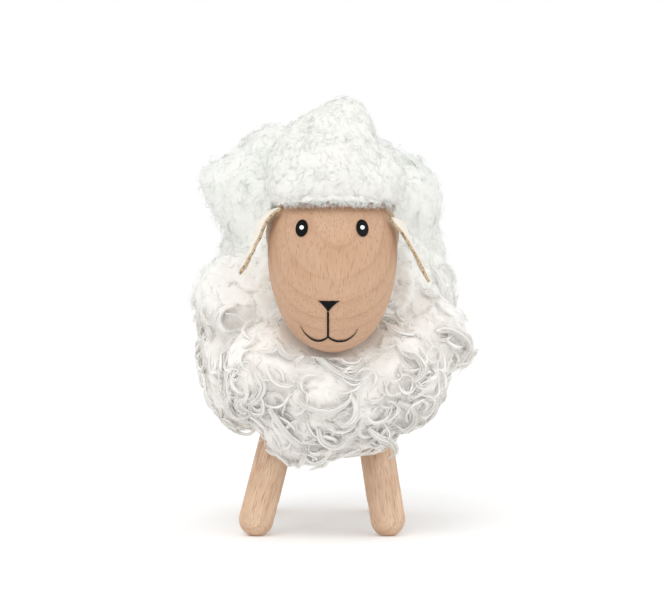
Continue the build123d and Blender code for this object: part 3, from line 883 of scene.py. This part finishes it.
class SHEEP_OT_beech(bpy.types.Operator):
    """Finish the head, the legs, the core and the neck pin in beech."""

    bl_idname = "sheep.beech"
    bl_label = "Finish Beech"
    bl_options = {"UNDO"}

    def execute(self, context):
        settings = context.scene.sheep_beech
        pith = (-1.5, settings.pith_depth / MM)
        dress(beech_material("head_beech", settings, settings.pale, HEAD, CROWN_WAY, pith,
                             tilt=radians(17)), "head")
        for side, inward in (("left", 1), ("right", -1)):
            for end, back in (("front", 1), ("rear", -1)):
                node = f"leg_{end}_{side}"
                low, high = (np.array(corner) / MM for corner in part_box(node))
                lean = unit((high - low - LEG_WIDTH) * (inward, back, 1))
                dress(beech_material(
                    f"{node}_beech", settings, settings.leg_pale, (low + high) / 2, lean,
                    pith=(9.0, 16.0), scale=0.9), node)
        dress(beech_material(
            "core_beech", settings, settings.leg_pale, middle=(0, 9, 67), grain_way=(0, 1, 0),
            pith=(4.0, 10.0)), "body_core", "neck_dowel")
        return {"FINISHED"}


class SHEEP_OT_face(bpy.types.Operator):
    """Paint the eyes with their glints, the nose and the mouth."""

    bl_idname = "sheep.face"
    bl_label = "Paint Face"
    bl_options = {"UNDO"}

    def execute(self, context):
        settings = context.scene.sheep_paint
        black = paint_material("black_paint", settings.black, settings.roughness)
        white = paint_material("white_paint", settings.white, settings.roughness)
        dress(black, "eye_left", "eye_right", "nose", "mouth")
        dress(white, "eye_glint_left", "eye_glint_right")
        return {"FINISHED"}


class SHEEP_OT_hide(bpy.types.Operator):
    """Finish the backings of the coat and the cap as raw hide."""

    bl_idname = "sheep.hide"
    bl_label = "Finish Hide"
    bl_options = {"UNDO"}

    def execute(self, context):
        hide = hide_material("cut_hide", context.scene.sheep_leather, edge=False)
        dress(hide, "body_hide", "cap_hide")
        return {"FINISHED"}


def within_coat(depth, gap):
    """A test for points that lie a depth inside the coat, and a gap clear of the head's room."""
    return lambda points: (coat_distance(points)[0] < -depth) & (room_distance(points) > gap)


COAT_UNDER = Form(COAT_CENTRE, within_coat(0.9, 1.5), coat_distance, COAT_REACH)
COAT = COAT_UNDER._replace(inside=within_coat(1.7, 1.0))


class SHEEP_OT_coat(bpy.types.Operator):
    """Grow the coat: under wool, curled locks all over it, and the curls that stand out."""

    bl_idname = "sheep.coat"
    bl_label = "Grow Coat"
    bl_options = {"UNDO"}

    def execute(self, context):
        settings = context.scene.sheep_wool
        rides = "figure", "long_wool"
        finish = wool_material("long_wool", settings), *rides
        under = wool_globe("coat_under_wool", COAT_UNDER, settings.coat_relief / MM)
        finish_piece(under, wool_material("coat_under_wool", settings, strands=False), *rides)
        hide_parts("body_wool")

        rng = np.random.default_rng(SEED)
        roots, out = wool_roots(rng, COAT, settings.lock_count)
        haze = np.clip((roots[:, 2] - HAZE_FROM) / HAZE_DEPTH, 0, 1)
        curled = rng.random(len(roots)) > HAZE_SHARE * haze
        roots, out, haze = roots[curled], out[curled], haze[curled]
        count = len(roots)
        length = settings.lock_length / MM * rng.uniform(0.75, 1.25, count)
        turns = rng.uniform(0.3, 0.85, count)
        width = settings.lock_width / MM * rng.uniform(0.7, 1.3, count)
        guides, planes = curl_guides(
            rng, COAT, roots, out, length, turns, steps=12, rise=0.9 - 0.4 * haze, stray=0.9,
            lean=0.7)
        angle = np.arctan2(roots[:, 0], -(roots[:, 1] - COAT_CENTRE[1]))
        regions = len(COAT_REGIONS)
        region = np.floor((angle + pi) / (2 * pi) * regions).astype(int) % regions
        for kind, number, spread, thick, frizz, sides in (
                ("locks", settings.lock_wisps, 0.5, 0.8, 0.08, 6),
                ("strands", settings.lock_strands, 1.05, 0.3, 0.2, 3)):
            lines, faces = locks(rng, guides, planes, width * spread, number, frizz)
            lines = clear_room(lines, HIDE_ROOM + thick * 0.6)
            owner = np.repeat(np.arange(count), number)
            thickness = thick * rng.uniform(0.75, 1.25, len(owner)) * (1 - 0.4 * haze[owner])
            for index, place in enumerate(COAT_REGIONS):
                chosen = region[owner] == index
                grow(f"coat_{kind}_{place}", rng, COAT, finish, lines[chosen], faces[chosen],
                     thickness[chosen], sides, root=0.25)

        roots, out = wool_roots(rng, COAT, settings.coat_fibres)
        count = len(roots)
        lines, faces = fibres(
            rng, COAT, roots + 0.9 * out, out, length=rng.uniform(5.0, 10.0, count),
            turns=rng.uniform(0.2, 0.8, count), steps=7, rise=rng.uniform(0.3, 2.2, count),
            stray=1.1, lean=0.8, width=0.5, frizz=0.35)
        lines = clear_room(lines, HIDE_ROOM)
        thickness = rng.uniform(*FIBRE_THICKNESS, count)
        for index, level in enumerate(("low", "high")):
            chosen = (roots[:, 2] > FIBRES_SPLIT) == bool(index)
            grow(f"coat_fibres_{level}", rng, COAT, finish, lines[chosen], faces[chosen],
                 thickness[chosen], sides=3, root=0.5)

        guides = leading_guides(steps=17, lift=1.4)
        planes = np.broadcast_to([0.0, -1.0, 0.0], (len(guides), 3))
        width = np.array([half_width for half_width, _ in LEADING_CURLS])
        for kind, number, spread, thick, frizz, sides in LEADING_KINDS:
            lines, faces = locks(rng, guides, planes, width * spread, number, frizz)
            grow(f"coat_leading_{kind}", rng, COAT, finish, clear_room(lines, HIDE_ROOM + 0.4),
                 faces, np.full(len(lines), thick), sides, root=0.35)
        return {"FINISHED"}


def in_cap(points):
    """Whether points lie in the cap's under wool or in the head below it, clear of the ears."""
    return (cap_distance(points)[0] < -0.9) & ~in_ear_sweep(points, 0.8)


def ear_frame(side):
    """Root point of an ear, the way back along its root, the level way out and the way up."""
    joint = JOINTS["ear_left_lift" if side < 0 else "ear_right_lift"]
    root = np.array(joint["pos_m"]) / MM
    back = np.array(joint["axis"]) * -side
    level = unit(np.array([side, 0.0, 0.0]) - back * back[0] * side)
    return root, back, level, np.cross(back, level) * -side


def cap_limit(angle, ball, rear=radians(78), begin=0.24, ease=0.3):
    """How far down from the top the cap's wool comes, by the angle round: to the cap's edge in
    front and over the ears, and further down over the hide behind them, by a share that eases as
    behind ^ 2 (3 - 2 behind)."""
    front = np.arccos((CAP_EDGE + 0.2 - HEAD[2]) / ball)
    behind = np.clip((np.sin(angle) - begin) / ease, 0, 1)
    return front + (rear - front) * behind ** 2 * (3 - 2 * behind)


def in_ear_sweep(points, margin, root_room=0.0, lowest=-100, highest=14):
    """Whether points lie where an ear hangs or lifts to, which is a slice of a disc round its root
    line, or in a round room along that line, a little longer at its front."""
    inside = np.zeros(points.shape[:-1], bool)
    for side in (-1, 1):
        root, back, level, up = ear_frame(side)
        away = points - root
        behind, out, high = away @ back, away @ level, away @ up
        angle = np.degrees(np.arctan2(high, out))
        swept = (behind > -1.2 - margin) & (angle > lowest) & (angle < highest)
        rooted = (behind > -2.4 - margin) & (np.hypot(out, high) < root_room)
        inside |= (behind < EAR_ROOT + margin) & (swept | rooted)
    return inside


CAP = Form(HEAD, in_cap, cap_distance, CAP_REACH)


class SHEEP_OT_cap(bpy.types.Operator):
    """Grow the cap: short under wool with brushed fibres, and dark flecks along its cut edge."""

    bl_idname = "sheep.cap"
    bl_label = "Grow Cap"
    bl_options = {"UNDO"}

    def execute(self, context):
        settings = context.scene.sheep_wool
        ball = HEAD_RADIUS + HIDE + 0.1
        limit = cap_limit(round_angles(280), ball)
        under = wool_dome("cap_under_wool", CAP, ball, limit, settings.cap_relief / MM)
        rides = "head_group", "short_wool"
        finish_piece(
            under, wool_material("cap_under_wool", settings, strands=False, rim=True), *rides)
        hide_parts("cap_wool")

        rng = np.random.default_rng(SEED + 5)
        roots, out = wool_roots(rng, CAP, settings.cap_fibres * 2)
        away = unit(roots - HEAD)
        down = cap_limit(np.arctan2(away[:, 1], away[:, 0]), ball)
        covered = away[:, 2] > np.cos(down + 0.01)
        roots, out, down = roots[covered] - 0.3 * out[covered], out[covered], down[covered]
        count = len(roots)
        lines, planes = fibres(
            rng, CAP, roots, out, length=rng.uniform(4.0, 7.5, count),
            turns=rng.uniform(0.1, 0.5, count), steps=7, rise=0.2 + 0.8 * rng.random(count) ** 2,
            stray=1.2, lean=0.35, width=0.5, frizz=0.3)
        clear = ~in_ear_sweep(lines, margin=0.6, root_room=2.6).any(axis=1)
        clear &= (egg_distance(*head_parts(lines)) > HIDE).all(axis=1)
        clear &= (lines[..., 2] > (HEAD[2] + ball * np.cos(down) - 1.2)[:, None]).all(axis=1)
        grow("cap_fibres", rng, CAP, (wool_material("short_wool", settings), *rides),
             lines[clear], planes[clear], rng.uniform(*FIBRE_THICKNESS, count)[clear], sides=3,
             root=0.5)

        ring = rng.uniform(0, 2 * pi, settings.edge_fibres)
        out = polar(ring, 1, 0.2)
        down = cap_limit(ring, ball)
        roots = HEAD + ball * polar(ring, np.sin(down), np.cos(down))
        roots += out * rng.uniform(0.3, 1.6, (len(ring), 1)) + [0, 0, 0.5]
        tuft = np.linspace(0, 1, TUFT_FIBRES)[:, None]
        front = TUFT_PLACE + np.array([1.4, 0.4, 0]) * (2 * tuft - 1)
        roots = np.concatenate([roots, front])
        out = unit(np.concatenate([out, np.tile([0.1, -0.4, -1.0], (TUFT_FIBRES, 1))]))
        count = len(roots)
        length = np.append(rng.uniform(1.4, 3.2, len(ring)), rng.uniform(3.0, 4.6, TUFT_FIBRES))
        lines, planes = fibres(
            rng, CAP, roots, out, length, turns=rng.uniform(0.05, 0.35, count), steps=6, rise=1.2,
            stray=0.8, lean=0.4, width=0.3, frizz=0.2)
        clear = ~in_ear_sweep(lines, margin=0.6, root_room=2.6).any(axis=1)
        across, up, ahead = head_parts(lines)
        away = egg_distance(across, up, ahead)
        bare = (lines[..., 2] < CAP_EDGE) & (lines[..., 1] < HEAD[1] - 6.5) & (away > 0.3)
        clear &= ((away > HIDE) | bare).all(axis=1)
        clear &= (ahead > -CAP_REAR + 0.5).all(axis=1)
        flecked = wool_material("cap_edge_wool", settings, rim=True)
        grow("cap_edge_fibres", rng, CAP, (flecked, *rides), lines[clear], planes[clear],
             rng.uniform(0.16, 0.34, count)[clear], sides=3, root=0.4)
        return {"FINISHED"}


def ear_leaf(name, side, width, thick, rings=44, columns=12, cup=0.9, rim_width=0.35):
    """A leather leaf: its front edge hangs along the line in the photograph, and from each place
    on it the leaf runs back, along the root line at the top and straight back at the tip. Its
    width is the root's times (1 - down ^ 2.4) ^ 0.8, and its faces cup a little. It is thinner by
    0.28 at its rim."""
    down = np.linspace(0, 1, rings)
    front = seen_at(smooth_path(EAR_EDGES[side], rings), EAR_DEPTH + 1.5 * down)
    root_way = ear_frame(side)[1]
    twist = np.minimum(down / 0.8, 1)[:, None] ** 0.8
    back = unit(root_way * (1 - twist) + np.array([0.06 * side, 1.0, -0.16]) * twist)
    along = unit(np.gradient(front, axis=0))
    outward = unit(np.cross(back, along))
    outward *= np.sign(outward[:, :1] * side)
    reach = width * (1 - down ** 2.4) ** 0.8 + 0.3
    across = np.linspace(0, 1, columns)
    over = np.concatenate([across, across[::-1]])
    face = np.repeat([1.0, -1.0], columns)
    rim = np.minimum(np.minimum(over, 1 - over) * reach[:, None] / rim_width, 1)
    half = thick / 2 * (0.72 + 0.28 * rim)
    cupped = cup * np.sin(pi * over) * (reach / width)[:, None]
    points = (front[:, None] + back[:, None] * (over * reach[:, None])[..., None]
              + outward[:, None] * (face * half + cupped)[..., None])
    points += 0.12 * ripple(points, 5.0, SEED + 9)[..., None] * outward[:, None]
    ends = points[[0, -1]].mean(axis=1)
    quads, triangles = globe_faces(rings, 2 * columns)
    if side > 0:
        quads, triangles = quads[:, ::-1], triangles[:, ::-1]
    cut = np.concatenate([(1 - rim).ravel(), [1.0, 1.0]])
    return put_mesh(name, np.concatenate([points.reshape(-1, 3), ends]), quads, triangles,
                    {"edge": cut})


class SHEEP_OT_ears(bpy.types.Operator):
    """Cut the leather ears: twisted leaves with a cream face and a tan cut edge."""

    bl_idname = "sheep.ears"
    bl_label = "Cut Ears"
    bl_options = {"UNDO"}

    def execute(self, context):
        settings = context.scene.sheep_leather
        leather = hide_material("ear_leather", settings)
        for side, place in ((-1, "left"), (1, "right")):
            leaf = ear_leaf(f"ear_{place}_leaf_leather", side, settings.ear_width / MM,
                            settings.ear_thickness / MM)
            finish_piece(leaf, leather, f"ear_{place}_leaf", "ear_leather")
            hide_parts(f"ear_{place}")
        return {"FINISHED"}


def add_lamp(name, place, power, aim=(0, 0, 0.08), width=0.7):
    """A square soft lamp at a place, turned to its aim, in metres."""
    data = bpy.data.lights.new(name, "AREA")
    data.energy = power
    data.shape = "SQUARE"
    data.size = width
    lamp = put_object(name, data)
    lamp.location = place
    lamp.rotation_euler = (Vector(aim) - Vector(place)).to_track_quat("-Z", "Y").to_euler()


class SHEEP_OT_stage(bpy.types.Operator):
    """Set the pale floor, the soft light and the photograph's camera."""

    bl_idname = "sheep.stage"
    bl_label = "Set Stage"
    bl_options = {"UNDO"}

    def execute(self, context):
        settings = context.scene.sheep_stage
        edge = polar(round_angles(64), FLOOR_RADIUS, 0)
        sides = len(edge)
        index = np.arange(sides)
        fan = np.stack([np.full(sides, sides), index, (index + 1) % sides], -1)
        points = np.concatenate([edge, np.zeros((1, 3))])
        floor = put_mesh("floor", points, np.zeros((0, 4), int), fan)
        shader = Shader("pale_floor")
        shader.set(Base_Color=settings.floor, Roughness=0.9, Specular_IOR_Level=0.1)
        reach = shader.length(shader.object_places())
        distant = shader.sum("MULTIPLY_ADD", reach, 0.12, 0.0, clamp=True)
        amount = shader.seen(shader.sum("ADD", distant, settings.floor_glow))
        glow = shader.node("ShaderNodeEmission", {"Strength": amount})
        joined = shader.node("ShaderNodeAddShader", {
            0: shader.surface.outputs["BSDF"], 1: glow.outputs["Emission"]})
        surface = shader.tree.nodes["Material Output"].inputs["Surface"]
        shader.put(surface, joined.outputs["Shader"])
        floor.data.materials.append(shader.material)

        world = bpy.data.worlds.new("studio")
        world.use_nodes = True
        context.scene.world = world
        sky = Shader(tree=world.node_tree)
        backdrop = world.node_tree.nodes["Background"]
        sky.put(backdrop.inputs["Color"], (1, 1, 1))
        strength = sky.sum("ADD", sky.seen(1 - settings.sky), settings.sky)
        sky.put(backdrop.inputs["Strength"], strength)

        add_lamp("key", (-0.25, -0.75, 0.95), settings.key)
        add_lamp("fill", (0.85, -0.35, 0.45), settings.fill)

        camera = put_object("camera", bpy.data.cameras.new("camera"))
        camera.data.sensor_width = SENSOR_WIDTH
        camera.data.lens = FOCAL_PIXELS * SENSOR_WIDTH / FRAME_WIDTH
        camera.data.clip_end = 20.0
        camera.location = (0, -VIEW_DISTANCE * MM, VIEW_HEIGHT * MM)
        camera.rotation_euler = (pi / 2, 0, 0)
        context.scene.camera = camera
        context.scene.view_settings.view_transform = "Standard"
        return {"FINISHED"}


STEPS = (
    SHEEP_OT_beech, SHEEP_OT_face, SHEEP_OT_hide, SHEEP_OT_coat, SHEEP_OT_cap, SHEEP_OT_ears,
    SHEEP_OT_stage,
)
SETTINGS = (BeechSettings, WoolSettings, LeatherSettings, PaintSettings, StageSettings)


class SHEEP_PT_panel(bpy.types.Panel):
    """Sizes, colours and steps of the sheep."""

    bl_label = "Sheep Figurine"
    bl_idname = "SHEEP_PT_panel"
    bl_space_type = "VIEW_3D"
    bl_region_type = "UI"
    bl_category = "Sheep"

    def draw(self, context):
        layout = self.layout
        for kind in SETTINGS:
            box = layout.box()
            held = getattr(context.scene, property_name(kind))
            for key in kind.__annotations__:
                box.prop(held, key)
        for step in STEPS:
            layout.operator(step.bl_idname)


def property_name(kind):
    """Name under which a scene holds a group of settings."""
    return "sheep_" + kind.__name__.replace("Settings", "").lower()


def register():
    for kind in SETTINGS:
        bpy.utils.register_class(kind)
        setattr(bpy.types.Scene, property_name(kind), bpy.props.PointerProperty(type=kind))
    for kind in (*STEPS, SHEEP_PT_panel):
        bpy.utils.register_class(kind)


def unregister():
    for kind in (SHEEP_PT_panel, *reversed(STEPS)):
        bpy.utils.unregister_class(kind)
    for kind in reversed(SETTINGS):
        delattr(bpy.types.Scene, property_name(kind))
        bpy.utils.unregister_class(kind)


def main():
    register()
    bpy.ops.sheep.beech()
    bpy.ops.sheep.face()
    bpy.ops.sheep.hide()
    bpy.ops.sheep.coat()
    bpy.ops.sheep.cap()
    bpy.ops.sheep.ears()
    bpy.ops.sheep.stage()


if __name__ == "__main__":
    main()
